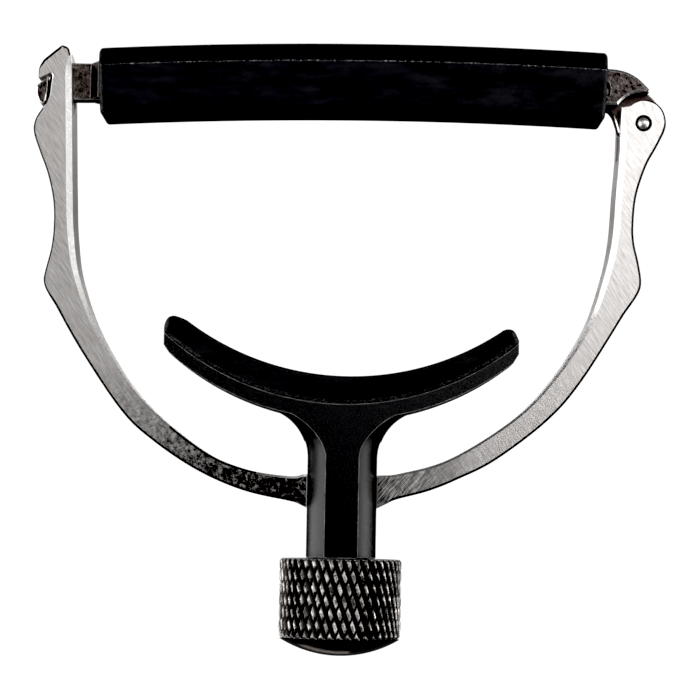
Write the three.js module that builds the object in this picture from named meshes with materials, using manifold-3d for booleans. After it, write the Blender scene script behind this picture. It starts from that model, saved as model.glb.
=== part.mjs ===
// Yoke-style guitar capo.
// A U-shaped steel yoke goes round the neck. A rubber-sleeved bar is pinned in the fork at the top of
// its right arm and latches in the fork of its left arm. A padded cradle slides on the bottom of the
// yoke and is raised by a knob and screw.
// X runs across the neck, Y along the neck, Z up from the neck's back to the strings.
// The origin is the middle of the clamp opening. Millimetres throughout.

import * as THREE from 'three';
import { mergeVertices } from 'three/addons/utils/BufferGeometryUtils.js';
import Module from 'manifold-3d';

const wasm = await Module();
wasm.setup();

// ---------------------------------------------------------------- driving dimensions

const GAP = 0.15;                    // left between two pieces that touch or slide

// yoke
const YOKE_HALF_DEPTH = 3.0;
const FORK_HALF_SLOT = 1.2;          // half width of the slot in both arm tops
const LEFT_SLOT_FLOOR = 14.3;
const RIGHT_SLOT_FLOOR = 10.2;
const YOKE_WEB_HALF_DEPTH = 0.8;     // where the yoke passes through the stem
const YOKE_WEB_TOP = -24.85;
const YOKE_WEB_BOTTOM = -28.6;
const BOSS_R = 2.4;
const RELIEF_R = 4.2;                // round relief in the yoke's faces beside the stem
const SCOOP_HALF_WIDTH = 13;         // the faces are scooped thinner on each side of the stem
const SCOOP_HALF_DEPTH = 1.3;        // what is left in the middle of the scoop

// hinge of the bar
const PIVOT = { x: 32.3, z: 14.1 };
const PIN_R = 0.8;
const PIN_HEAD_R = 0.9;
const PIN_HEAD_HEIGHT = 0.25;
const CHEEK_R = 2.45;                // round top of the right arm
const SHOULDER_R = 3.46;             // hollow shoulder of the bar over that round top
const RELEASE_ANGLE = 33;            // degrees below horizontal, towards the latch
const RELEASE_STROKE = 1.56;

// bar and sleeve
const BAR_HALF_DEPTH = 3.0;
const TONGUE_HALF_DEPTH = 1.05;
const ARCH_R = 508;                  // the bar is crowned like the fretboard it presses on
const ARCH_Z = 18.5;                 // height at which the crown keeps its length
const ARCH_MIDDLE_X = 0.45;
const BAR_SLOPE = 0.0073;            // the bar rises slightly towards its hinge
const CORE_HALF_DEPTH = 2.75;
const CORE_BOTTOM = 16.3;
const CORE_TOP = 20.6;
const CORE_LEFT = -25.5;
const CORE_RIGHT = 26.5;
const CORE_CORNER = 1.0;             // chamfer along the core's top edges
const RAMP = { tip: -28.5, foot: -27.5, end: -24.0, low: 16.0, high: 20.0 };
const KNUCKLE_LEFT = 26.0;
const KNUCKLE_LOW = 16.1;
const KNUCKLE_HIGH = 20.05;
const SLEEVE_HALF_LENGTH = 27.8;
const SLEEVE_HALF_DEPTH = 3.75;
const SLEEVE_BOTTOM = 14.85;
const SLEEVE_TOP = 22.65;
const SLEEVE_SHOULDER_Z = 20.35;     // where the front and back faces start to lean in
const SLEEVE_CROWN_HALF_DEPTH = 2.0;
const SLEEVE_STEPS = 11;             // odd, so the middle of the underside is one flat facet

// cradle
const CRADLE_HALF_DEPTH = 3.45;
const PAD_HALF_DEPTH = 3.6;
const CRADLE_ARC_R = 29.5;
const PAD_ARC_Z = 15.3;              // height of the centre of the pad's hollow top
const PAD_THICKNESS = 3.0;
const CARRIER_THICKNESS = 1.7;
const CRADLE_LEFT = -19.6;           // the pad sits slightly off centre on the stem
const CRADLE_RIGHT = 18.95;
const PAD_TILT = 0.82;               // degrees; the pad's top is lower at its right end
const CRADLE_BASE = -50;             // below everything; cutters and outlines run down to here

// stem
const STEM_R = 3.9;
const STEM_BOTTOM = -33.9;
const SPIGOT_R = 3.1;                // the end of the stem, inside the knob
const SPIGOT_BOTTOM = -37.2;
const FLARE_R = 5.4;                 // hollow curve from stem to carrier
const FLARE_START_Z = -23.05;
const FLARE_TOP = -14;               // above the carrier's underside, inside the carrier
const FLARE_END_ANGLE = 106;         // where the flare meets the carrier's underside, in degrees
const STEM_BORE_R = 2.5;
const STEM_BORE_TOP = -21.0;
const STEM_SLOT_HALF_DEPTH = 0.9;

// screw and knob
const THREAD_R = 1.45;
const THREAD_HOLE_R = 1.55;
const SCREW_TOP = -20.6;
const NECK_R = 1.2;                  // plain lower end of the screw
const NECK_TOP = -37.3;
const GROOVE_LOW = -34.75;           // groove for the spring clip
const GROOVE_HIGH = -34.15;
const SCREW_BOTTOM = -42.0;
const KNOB_R = 6.65;
const KNOB_TOP = -34.0;
const KNOB_BOTTOM = -42.5;
const KNOB_SOCKET_R = 3.35;
const KNOB_SOCKET_FLOOR = -38.7;
const KNOB_NUT_CEILING = -40.1;
const KNOB_NUT_HOLE_R = 3.0;
const WASHER_R = 3.0;
const CAP_SAG = 1.85;                // how far the domed cap stands out of the knob

const ROUND = 40;                    // sides of a full circle on the larger round pieces
const degrees = THREE.MathUtils.degToRad;

// ---------------------------------------------------------------- solids

function solid(geometry) {
  const bare = geometry.clone();
  bare.deleteAttribute('normal');
  bare.deleteAttribute('uv');
  const merged = mergeVertices(bare, 1e-4);
  const mesh = new wasm.Mesh({
    numProp: 3,
    vertProperties: new Float32Array(merged.attributes.position.array),
    triVerts: new Uint32Array(merged.index.array),
  });
  return new wasm.Manifold(mesh);
}

function geometryOf(body) {
  const mesh = body.getMesh();
  const geometry = new THREE.BufferGeometry();
  geometry.setAttribute('position', new THREE.BufferAttribute(new Float32Array(mesh.vertProperties), 3));
  geometry.setIndex(new THREE.BufferAttribute(new Uint32Array(mesh.triVerts), 1));
  geometry.computeVertexNormals();
  return geometry;
}

function part(name, body, colour, roughness, metalness) {
  const material = new THREE.MeshStandardMaterial({ color: colour, roughness, metalness });
  const mesh = new THREE.Mesh(geometryOf(body), material);
  mesh.name = name;
  return mesh;
}

// points of a round stretch in the XZ plane, from one angle to another in degrees
function arc(x, z, radius, from, to, steps) {
  const points = [];
  for (let i = 0; i <= steps; i += 1) {
    const angle = degrees(from + (to - from) * i / steps);
    points.push([x + radius * Math.cos(angle), z + radius * Math.sin(angle)]);
  }
  return points;
}

// points of a smooth curve through a few given ones
function smooth(points, stepsPerSpan) {
  const curve = new THREE.SplineCurve(points.map(([x, z]) => new THREE.Vector2(x, z)));
  return curve.getPoints((points.length - 1) * stepsPerSpan).map((point) => [point.x, point.y]);
}

// an outline in the XZ plane, made into a plate between two Y values
function plate(outline, yLow, yHigh) {
  const shape = new THREE.Shape(outline.map(([x, z]) => new THREE.Vector2(x, z)));
  const geometry = new THREE.ExtrudeGeometry(shape, { depth: yHigh - yLow, bevelEnabled: false });
  geometry.rotateX(Math.PI / 2);
  geometry.translate(0, yHigh, 0);
  return solid(geometry);
}

function block(xLow, xHigh, yLow, yHigh, zLow, zHigh) {
  const geometry = new THREE.BoxGeometry(xHigh - xLow, yHigh - yLow, zHigh - zLow);
  geometry.translate((xLow + xHigh) / 2, (yLow + yHigh) / 2, (zLow + zHigh) / 2);
  return solid(geometry);
}

// a profile of [radius, z] points turned about the Z axis
function turned(profile, sides = ROUND) {
  const points = profile.map(([radius, z]) => new THREE.Vector2(radius, z));
  const geometry = new THREE.LatheGeometry(points, sides);
  geometry.rotateX(Math.PI / 2);
  const body = solid(geometry);
  if (body.volume() > 0) return body;
  geometry.index.array.reverse();
  return solid(geometry);
}

function rod(radius, zLow, zHigh, sides = ROUND) {
  return turned([[0, zLow], [radius, zLow], [radius, zHigh], [0, zHigh]], sides);
}

function ring(inner, outer, zLow, zHigh, sides = ROUND) {
  return rod(outer, zLow, zHigh, sides).subtract(rod(inner, zLow - 1, zHigh + 1, sides));
}

// a round bar along Y
function crossRod(x, z, radius, yLow, yHigh, sides = 24) {
  return rod(radius, yLow, yHigh, sides).rotate([-90, 0, 0]).translate([x, 0, z]);
}

// bends a solid that runs along X so that it is crowned, with its ends lower than its middle
function crowned(geometry) {
  const position = geometry.attributes.position;
  for (let i = 0; i < position.count; i += 1) {
    const angle = position.getX(i) / ARCH_R;
    const radius = ARCH_R + position.getZ(i) - ARCH_Z;
    const along = radius * Math.sin(angle);
    position.setX(i, along + ARCH_MIDDLE_X);
    position.setZ(i, radius * Math.cos(angle) - ARCH_R + ARCH_Z + along * BAR_SLOPE);
  }
  return solid(geometry);
}

// a section of [y, z] points run along X and crowned
function crownedBar(section, xLow, xHigh, steps) {
  const shape = new THREE.Shape(section.map(([y, z]) => new THREE.Vector2(y, z)));
  const options = { depth: xHigh - xLow, steps, bevelEnabled: false };
  const geometry = new THREE.ExtrudeGeometry(shape, options);
  geometry.rotateX(Math.PI / 2);
  geometry.rotateZ(Math.PI / 2);
  geometry.translate(xLow, 0, 0);
  return crowned(geometry);
}

// ---------------------------------------------------------------- yoke

// left arm, from the foot of the latch notch down to the boss
const leftOuter = smooth([
  [-33.45, 14.7], [-34.2, 13.4], [-34.35, 12.0], [-33.65, 9.9], [-32.7, 7.4], [-32.05, 4.6],
  [-31.9, 2.0], [-32.1, -0.6], [-32.7, -3.2], [-32.85, -4.3], [-32.5, -5.4], [-31.5, -7.0],
], 4);
const leftBelly = smooth([
  [-31.5, -7.0], [-28.6, -11.9], [-24.1, -18.3], [-20.6, -21.5], [-15.8, -24.6], [-10.8, -26.7],
  [-5.8, -27.75], [-4.9, -27.98], [-4.1, -28.35], [-3.5, YOKE_WEB_BOTTOM],
], 4);
const rightBelly = smooth([
  [3.5, YOKE_WEB_BOTTOM], [4.1, -28.3], [4.9, -27.9], [6.0, -27.4], [9.4, -26.45], [12.4, -25.2],
  [16.6, -23.0], [22.2, -18.6], [25.9, -14.2], [30.4, -6.9],
], 4);
const rightOuter = smooth([
  [30.4, -6.9], [31.8, -4.8], [32.2, -3.4], [31.9, -1.3], [31.4, 0.9], [31.3, 3.0], [31.6, 6.1],
  [32.6, 9.3], [33.7, 11.4], [34.35, 12.7],
], 4);
const rightInner = smooth([
  [29.9, 15.85], [29.75, 10.9], [29.4, 6.4], [29.05, 1.5], [28.2, -2.8], [26.4, -8.2], [23.0, -13.8],
  [18.7, -18.4], [11.8, -22.9], [6.4, -24.6], [RELIEF_R, YOKE_WEB_TOP],
], 4);
const leftInner = smooth([
  [-RELIEF_R, YOKE_WEB_TOP], [-5.8, -25.1], [-10.6, -24.4], [-15.4, -22.3], [-22.0, -16.9],
  [-26.5, -10.3], [-28.9, -4.2], [-29.7, 0.5], [-30.0, 6.0], [-30.4, 18.0], [-30.55, 20.5],
], 4);
// rounded top of the left arm, and the hook over the latch notch
const leftTop = [
  ...smooth([[-30.55, 20.5], [-30.8, 21.3], [-31.4, 21.6], [-31.9, 21.35], [-33.5, 20.0]], 3),
  [-33.95, 19.2], [-34.0, 17.85], [-32.65, 18.5], [-32.45, 18.3], [-32.75, 15.7],
];

// round top of the right arm, a little fuller towards the bar
const cheekTop = smooth([
  [-25, 0], [-5, 0], [15, 0.01], [35, 0.09], [55, 0.16], [75, 0.17], [95, 0.11], [112, 0.04], [128, 0],
].map(([angle, more]) => arc(PIVOT.x, PIVOT.z, CHEEK_R + more, angle, angle, 1)[0]), 3);

// shallow scoop in the front and back faces, as a plan of [x, y] points
function scoopPlan(side) {
  const steps = 16;
  const plan = [];
  for (let i = 0; i <= steps; i += 1) {
    const share = 2 * i / steps - 1;
    const cut = (YOKE_HALF_DEPTH - SCOOP_HALF_DEPTH) * (1 - share ** 2) ** 2;
    plan.push([share * SCOOP_HALF_WIDTH, side * (YOKE_HALF_DEPTH - cut)]);
  }
  const outside = side * (YOKE_HALF_DEPTH + 1);
  return [...plan, [SCOOP_HALF_WIDTH, outside], [-SCOOP_HALF_WIDTH, outside]];
}

// a plan of [x, y] points run from one height to another
function prism(plan, zLow, zHigh) {
  return plate(plan, -zHigh, -zLow).rotate([-90, 0, 0]);
}

function yokeFrame() {
  const outline = [
    ...leftOuter, ...leftBelly.slice(1), ...rightBelly, ...rightOuter.slice(1), ...cheekTop,
    ...rightInner, ...leftInner, ...leftTop,
  ];
  const relief = rod(RELIEF_R, YOKE_WEB_BOTTOM - 3, YOKE_WEB_TOP + 3)
    .subtract(block(-9, 9, -YOKE_WEB_HALF_DEPTH, YOKE_WEB_HALF_DEPTH, CRADLE_BASE, 0));
  const leftSlot = block(-40, -25, -FORK_HALF_SLOT, FORK_HALF_SLOT, LEFT_SLOT_FLOOR, 30);
  const rightSlot = block(25, 40, -FORK_HALF_SLOT, FORK_HALF_SLOT, RIGHT_SLOT_FLOOR, 30);
  const pinHole = crossRod(PIVOT.x, PIVOT.z, PIN_R + 0.1, -10, 10);
  return plate(outline, -YOKE_HALF_DEPTH, YOKE_HALF_DEPTH)
    .subtract(prism(scoopPlan(-1), -33, -20))
    .subtract(prism(scoopPlan(1), -33, -20))
    .subtract(relief)
    .add(rod(BOSS_R, YOKE_WEB_BOTTOM, YOKE_WEB_TOP))
    .subtract(rod(THREAD_HOLE_R, YOKE_WEB_BOTTOM - 1, YOKE_WEB_TOP + 1))
    .subtract(leftSlot)
    .subtract(rightSlot)
    .subtract(pinHole);
}

function pivotPin() {
  const inner = YOKE_HALF_DEPTH + 0.05;
  const tip = inner + PIN_HEAD_HEIGHT;
  const profile = [
    [0, -tip], [PIN_HEAD_R * 0.6, -tip + 0.08], [PIN_HEAD_R, -inner], [PIN_R, -inner],
    [PIN_R, inner], [PIN_HEAD_R, inner], [PIN_HEAD_R * 0.6, tip - 0.08], [0, tip],
  ];
  return turned(profile, 24).rotate([-90, 0, 0]).translate([PIVOT.x, 0, PIVOT.z]);
}

// ---------------------------------------------------------------- bar

function releaseOffset(length) {
  const angle = degrees(RELEASE_ANGLE);
  return [-length * Math.cos(angle), -length * Math.sin(angle)];
}

function swingBar() {
  const core = crownedBar([
    [-CORE_HALF_DEPTH, CORE_BOTTOM], [CORE_HALF_DEPTH, CORE_BOTTOM],
    [CORE_HALF_DEPTH, CORE_TOP - CORE_CORNER], [CORE_HALF_DEPTH - CORE_CORNER, CORE_TOP],
    [CORE_CORNER - CORE_HALF_DEPTH, CORE_TOP], [-CORE_HALF_DEPTH, CORE_TOP - CORE_CORNER],
  ], CORE_LEFT - ARCH_MIDDLE_X, CORE_RIGHT - ARCH_MIDDLE_X, SLEEVE_STEPS);
  // full-depth knuckle over the cheeks, hollowed round the pin
  const knuckle = plate([
    [KNUCKLE_LEFT, KNUCKLE_LOW], ...arc(PIVOT.x, PIVOT.z, SHOULDER_R, 144.7, 80.5, 8),
    ...smooth([[32.95, 17.75], [31.9, 18.85], [30.7, 19.6], [29.5, 19.95], [28.4, KNUCKLE_HIGH]], 3),
    [KNUCKLE_LEFT, KNUCKLE_HIGH],
  ], -BAR_HALF_DEPTH, BAR_HALF_DEPTH);
  // thin web between the cheeks
  const web = plate([
    [27.5, 16.4], ...smooth([[28.3, 16.15], [29.1, 15.3], [29.5, 14.3], [29.75, 13.4]], 3),
    ...arc(PIVOT.x, PIVOT.z, 2.4, 212, 372, 10),
    ...smooth([[34.55, 15.6], [33.9, 16.7], [32.7, 17.9], [31.5, 18.8]], 3),
    [27.5, 18.8],
  ], -TONGUE_HALF_DEPTH, TONGUE_HALF_DEPTH);
  // tongue that reaches into the left fork, and the ramp that thickens it into the core
  const tongue = plate([
    [RAMP.end, RAMP.low], [RAMP.end, RAMP.high], [-31.6, RAMP.high], [-33.0, 18.6], [-33.3, 17.4],
    [-33.4, 15.9], [-32.6, 15.5], [-31.0, 15.9],
  ], -TONGUE_HALF_DEPTH, TONGUE_HALF_DEPTH);
  const rampPlan = [
    [RAMP.tip, -TONGUE_HALF_DEPTH], [RAMP.foot, -CORE_HALF_DEPTH], [RAMP.end, -CORE_HALF_DEPTH],
    [RAMP.end, CORE_HALF_DEPTH], [RAMP.foot, CORE_HALF_DEPTH], [RAMP.tip, TONGUE_HALF_DEPTH],
  ];
  const ramp = prism(rampPlan, RAMP.low, RAMP.high);
  const pinSlotEnd = releaseOffset(-RELEASE_STROKE);
  const slotWidth = PIN_R + 0.08;
  const pinSlot = crossRod(PIVOT.x, PIVOT.z, slotWidth, -10, 10, 20)
    .add(crossRod(PIVOT.x + pinSlotEnd[0], PIVOT.z + pinSlotEnd[1], slotWidth, -10, 10, 20))
    .add(block(0, RELEASE_STROKE, -10, 10, -slotWidth, slotWidth)
      .rotate([0, -RELEASE_ANGLE, 0])
      .translate([PIVOT.x, 0, PIVOT.z]));
  return core.add(knuckle).add(web).add(tongue).add(ramp)
    .subtract(pinSlot)
    .subtract(latchPinBody(0.12));
}

// cross piece at the end of the tongue, with a slanted top that bears on the hooks
function latchPinBody(growth) {
  const outline = [
    [-34.2 - growth, 17.05], [-32.95 + growth, 18.05 + growth * 2], [-33.05 + growth, 16.2],
    [-33.15 + growth, 15.5 - growth], [-33.45, 15.05 - growth], [-33.95 - growth, 15.5 - growth],
    [-34.2 - growth, 16.2],
  ];
  return plate(outline, -YOKE_HALF_DEPTH - 0.1, YOKE_HALF_DEPTH + 0.1);
}

function barSleeve() {
  const section = [
    [-3.35, SLEEVE_BOTTOM], [3.35, SLEEVE_BOTTOM],
    [SLEEVE_HALF_DEPTH, SLEEVE_BOTTOM + 0.45], [SLEEVE_HALF_DEPTH, SLEEVE_SHOULDER_Z],
    [SLEEVE_CROWN_HALF_DEPTH, SLEEVE_TOP - 0.15], [1.4, SLEEVE_TOP],
    [-1.4, SLEEVE_TOP], [-SLEEVE_CROWN_HALF_DEPTH, SLEEVE_TOP - 0.15],
    [-SLEEVE_HALF_DEPTH, SLEEVE_SHOULDER_Z], [-SLEEVE_HALF_DEPTH, SLEEVE_BOTTOM + 0.45],
  ];
  const bore = [
    [-CORE_HALF_DEPTH - GAP, CORE_BOTTOM - GAP], [CORE_HALF_DEPTH + GAP, CORE_BOTTOM - GAP],
    [CORE_HALF_DEPTH + GAP, CORE_TOP - 0.9], [CORE_HALF_DEPTH - 0.9, CORE_TOP + GAP],
    [0.9 - CORE_HALF_DEPTH, CORE_TOP + GAP], [-CORE_HALF_DEPTH - GAP, CORE_TOP - 0.9],
  ];
  const outer = crownedBar(section, -SLEEVE_HALF_LENGTH, SLEEVE_HALF_LENGTH, SLEEVE_STEPS);
  const inner = crownedBar(bore, -SLEEVE_HALF_LENGTH - 2, SLEEVE_HALF_LENGTH + 2, SLEEVE_STEPS);
  // sockets for the ramp at the left end and the knuckle at the right end
  const rampHalf = CORE_HALF_DEPTH + GAP;
  const rampSocket = block(-30, RAMP.end + GAP, -rampHalf, rampHalf, RAMP.low - GAP, RAMP.high + GAP);
  const half = BAR_HALF_DEPTH + GAP;
  const knuckleSocket = block(KNUCKLE_LEFT - GAP, 30, -half, half, KNUCKLE_LOW - GAP, KNUCKLE_HIGH + GAP);
  return outer.subtract(inner).subtract(rampSocket).subtract(knuckleSocket);
}

// ---------------------------------------------------------------- cradle

// height of the centre of an arc that lies this far below the pad's top
function arcCentre(depth) {
  return PAD_ARC_Z - depth;
}

function bowl(depth, left, right, steps) {
  const angles = [left, right].map((x) => THREE.MathUtils.radToDeg(Math.asin(x / CRADLE_ARC_R)) - 90);
  return arc(0, arcCentre(depth), CRADLE_ARC_R, angles[0], angles[1], steps);
}

// turns the pad's hollow top about the middle of its surface
function padTilt([x, z]) {
  const angle = degrees(-PAD_TILT);
  const pivotZ = PAD_ARC_Z - CRADLE_ARC_R;
  return [
    x * Math.cos(angle) - (z - pivotZ) * Math.sin(angle),
    x * Math.sin(angle) + (z - pivotZ) * Math.cos(angle) + pivotZ,
  ];
}

function cradlePad() {
  const right = CRADLE_RIGHT;
  const left = CRADLE_LEFT;
  const rightCorner = smooth([
    [right - 1.75, -8.95], [right - 1.15, -8.8], [right - 0.5, -9.05], [right, -10.0],
  ], 2);
  const leftCorner = smooth([
    [left, -9.6], [left + 0.05, -8.9], [left + 0.4, -8.2], [left + 1.0, -7.95], [left + 1.7, -8.1],
  ], 2);
  const top = bowl(0, left + 2.4, right - 2.2, 21).map(padTilt);
  const bottom = bowl(PAD_THICKNESS, left, right, 20).reverse();
  return plate([...leftCorner, ...top, ...rightCorner, ...bottom], -PAD_HALF_DEPTH, PAD_HALF_DEPTH);
}

function cradleBody() {
  const top = bowl(PAD_THICKNESS + GAP, CRADLE_LEFT, CRADLE_RIGHT, 20);
  const lower = bowl(PAD_THICKNESS + CARRIER_THICKNESS, CRADLE_LEFT + 0.6, CRADLE_RIGHT - 0.6, 20);
  const carrier = plate(
    [[CRADLE_LEFT, -11.1], ...top, [CRADLE_RIGHT, -11.5], ...lower.reverse()],
    -CRADLE_HALF_DEPTH,
    CRADLE_HALF_DEPTH,
  );
  const flare = arc(STEM_R + FLARE_R, FLARE_START_Z, FLARE_R, 180, FLARE_END_ANGLE, 10);
  const trumpet = turned([
    [0, SPIGOT_BOTTOM], [SPIGOT_R, SPIGOT_BOTTOM], [SPIGOT_R, STEM_BOTTOM], [STEM_R, STEM_BOTTOM],
    ...flare, [flare.at(-1)[0], FLARE_TOP], [0, FLARE_TOP],
  ]);
  const underPad = plate(
    [...top, [CRADLE_RIGHT, CRADLE_BASE], [CRADLE_LEFT, CRADLE_BASE]],
    -CRADLE_HALF_DEPTH,
    CRADLE_HALF_DEPTH,
  );
  const slotTop = STEM_BORE_TOP - 0.2;
  const slot = block(-9, 9, -STEM_SLOT_HALF_DEPTH, STEM_SLOT_HALF_DEPTH, CRADLE_BASE, slotTop);
  return trumpet.intersect(underPad)
    .add(carrier)
    .subtract(rod(STEM_BORE_R, CRADLE_BASE, STEM_BORE_TOP))
    .subtract(rod(THREAD_R + 0.3, CRADLE_BASE, SCREW_TOP + 0.4))
    .subtract(slot);
}

function stemPlug() {
  return ring(THREAD_HOLE_R + 0.05, STEM_BORE_R - 0.1, SPIGOT_BOTTOM, SPIGOT_BOTTOM + 2.2);
}

// ---------------------------------------------------------------- screw and knob

function adjustingScrew() {
  return turned([
    [0, SCREW_BOTTOM], [NECK_R, SCREW_BOTTOM], [NECK_R, NECK_TOP], [THREAD_R, NECK_TOP],
    [THREAD_R, GROOVE_LOW], [NECK_R, GROOVE_LOW], [NECK_R, GROOVE_HIGH], [THREAD_R, GROOVE_HIGH],
    [THREAD_R, SCREW_TOP - 0.4], [THREAD_R - 0.4, SCREW_TOP], [0, SCREW_TOP],
  ], 24);
}

// spring clip in the screw's groove; it bears on the plug and stops the screw dropping
function screwClip() {
  const opening = block(0, 5, -0.8, 0.8, -40, -30);
  return ring(NECK_R + 0.06, 2.25, GROOVE_LOW + 0.05, GROOVE_HIGH - 0.05, 24).subtract(opening);
}

function thrustWasher() {
  return ring(NECK_R + 0.1, WASHER_R, NECK_TOP - 0.5, NECK_TOP - 0.05, 24);
}

// spring washer, dished so that it presses the knob away from the stem
function springWasher() {
  return turned([
    [NECK_R + 0.1, -38.1], [WASHER_R, -38.6], [WASHER_R, -38.35], [NECK_R + 0.1, -37.85],
    [NECK_R + 0.1, -38.1],
  ], 24);
}

function knob() {
  return turned([
    [KNOB_NUT_HOLE_R, KNOB_BOTTOM], [KNOB_R - 0.1, KNOB_BOTTOM], [KNOB_R, KNOB_BOTTOM + 0.1],
    [KNOB_R, KNOB_TOP - 0.1], [KNOB_R - 0.1, KNOB_TOP], [KNOB_SOCKET_R, KNOB_TOP],
    [KNOB_SOCKET_R, KNOB_SOCKET_FLOOR], [NECK_R + 0.06, KNOB_SOCKET_FLOOR],
    [NECK_R + 0.06, KNOB_NUT_CEILING], [KNOB_NUT_HOLE_R, KNOB_NUT_CEILING],
    [KNOB_NUT_HOLE_R, KNOB_BOTTOM],
  ], 48);
}

function knobNut() {
  const hexagon = rod(2.6, KNOB_NUT_CEILING - 1.6, KNOB_NUT_CEILING - GAP, 6);
  return hexagon.subtract(rod(NECK_R + 0.06, KNOB_NUT_CEILING - 3, KNOB_NUT_CEILING, 24));
}

function knobCap() {
  const rim = KNOB_BOTTOM - GAP;
  const edge = KNOB_R - 0.1;
  const sphere = (edge * edge + CAP_SAG * CAP_SAG) / (2 * CAP_SAG);
  const reach = THREE.MathUtils.radToDeg(Math.asin(edge / sphere));
  const dome = arc(0, rim - CAP_SAG + sphere, sphere, -90, -90 + reach, 8);
  return turned([...dome, [0, rim]], 48);
}

// ---------------------------------------------------------------- assembly

const STEEL = 0xc9c4c1;
const GUNMETAL = 0x5a5352;
const BRIGHT_STEEL = 0xd8d6d4;
const BLACK_RUBBER = 0x101012;
const BLACK_ANODISED = 0x17171a;
const BRASS = 0xb8924a;

const yoke = new THREE.Group();
yoke.add(part('yoke_frame', yokeFrame(), STEEL, 0.35, 1));

const pivot = new THREE.Group();
pivot.add(part('pivot_pin', pivotPin(), BRIGHT_STEEL, 0.2, 1));

const bar = new THREE.Group();
bar.add(part('swing_bar', swingBar(), GUNMETAL, 0.45, 1));
bar.add(part('latch_pin', latchPinBody(0), GUNMETAL, 0.4, 1));
bar.add(part('bar_sleeve', barSleeve(), BLACK_RUBBER, 0.75, 0));

const cradle = new THREE.Group();
cradle.add(part('cradle_body', cradleBody(), BLACK_ANODISED, 0.4, 1));
cradle.add(part('cradle_pad', cradlePad(), BLACK_RUBBER, 0.8, 0));
cradle.add(part('stem_plug', stemPlug(), BRASS, 0.35, 1));

const drive = new THREE.Group();
drive.add(part('adjusting_screw', adjustingScrew(), BRIGHT_STEEL, 0.3, 1));
drive.add(part('screw_clip', screwClip(), BRIGHT_STEEL, 0.3, 1));
drive.add(part('thrust_washer', thrustWasher(), BRASS, 0.3, 1));
drive.add(part('spring_washer', springWasher(), BRIGHT_STEEL, 0.3, 1));
drive.add(part('knob', knob(), BLACK_ANODISED, 0.35, 1));
drive.add(part('knob_nut', knobNut(), BRIGHT_STEEL, 0.35, 1));
drive.add(part('knob_cap', knobCap(), BLACK_ANODISED, 0.15, 1));

const capo = new THREE.Group();
capo.add(yoke, pivot, bar, cradle, drive);

export default capo;
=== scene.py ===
"""Guitar capo: the looks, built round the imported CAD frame.

Lengths below are in millimetres and are turned into metres as each mesh is made. X runs across the
neck, Y along it, Z up to the strings."""

import math

import bmesh
import bpy
from mathutils import Matrix, Vector


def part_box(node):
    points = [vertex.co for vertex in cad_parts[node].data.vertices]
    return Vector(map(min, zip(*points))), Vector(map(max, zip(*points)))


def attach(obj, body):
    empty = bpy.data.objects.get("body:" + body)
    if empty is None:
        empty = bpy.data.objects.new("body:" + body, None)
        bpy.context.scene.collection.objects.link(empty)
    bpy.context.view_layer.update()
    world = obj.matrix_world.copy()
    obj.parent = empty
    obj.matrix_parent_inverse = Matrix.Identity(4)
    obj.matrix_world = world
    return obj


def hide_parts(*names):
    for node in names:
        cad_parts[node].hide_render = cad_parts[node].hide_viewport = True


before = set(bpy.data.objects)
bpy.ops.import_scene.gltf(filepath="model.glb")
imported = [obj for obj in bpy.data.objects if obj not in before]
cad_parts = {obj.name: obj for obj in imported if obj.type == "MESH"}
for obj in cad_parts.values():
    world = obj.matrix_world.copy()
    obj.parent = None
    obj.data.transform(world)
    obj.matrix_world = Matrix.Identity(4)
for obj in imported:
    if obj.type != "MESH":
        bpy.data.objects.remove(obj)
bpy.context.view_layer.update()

MM = 0.001


def cad(node):
    """Lowest and highest corner of a CAD node, in millimetres."""
    low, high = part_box(node)
    return low / MM, high / MM


# ---------------------------------------------------------------- sizes, read from the frame

YOKE_LOW, YOKE_HIGH = cad("yoke_frame")
HALF_DEPTH = YOKE_HIGH.y
PIN_LOW, PIN_HIGH = cad("pivot_pin")
PIVOT_X = (PIN_LOW.x + PIN_HIGH.x) / 2
PIVOT_Z = (PIN_LOW.z + PIN_HIGH.z) / 2
SLEEVE_HALF_DEPTH = cad("bar_sleeve")[1].y
PAD_LOW, PAD_HIGH = cad("cradle_pad")
CRADLE_HALF_DEPTH = cad("cradle_body")[1].y
KNOB_LOW, KNOB_HIGH = cad("knob")
CAP_LOW, CAP_HIGH = cad("knob_cap")
STEM_R = 3.9
STEM_BOTTOM = KNOB_HIGH.z + 0.1
WEB_TOP = -24.85
WEB_BOTTOM = YOKE_LOW.z
RELIEF_R = 4.2
SCOOP_HALF_WIDTH = 13
SCOOP_HALF_DEPTH = 1.3

# ---------------------------------------------------------------- outlines


def arc(x, z, radius, start, end, steps):
    """Points of a round stretch in the XZ plane, between two angles in degrees."""
    angles = [math.radians(start + (end - start) * i / steps) for i in range(steps + 1)]
    return [(x + radius * math.cos(a), z + radius * math.sin(a)) for a in angles]


def smooth(points, steps):
    """Points of a smooth curve through a few given ones, with so many steps in each span."""
    found = []
    last = len(points) - 1
    for i in range(last):
        p0, p1, p2, p3 = (Vector(points[min(max(i + k, 0), last)]) for k in (-1, 0, 1, 2))
        for j in range(steps):
            t = j / steps
            pull = (p2 - p0) * 0.5 * (t ** 3 - 2 * t * t + t) + (p3 - p1) * 0.5 * (t ** 3 - t * t)
            point = p1 * (2 * t ** 3 - 3 * t * t + 1) + p2 * (3 * t * t - 2 * t ** 3) + pull
            found.append((point.x, point.y))
    found.append(tuple(points[-1]))
    return found


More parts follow.
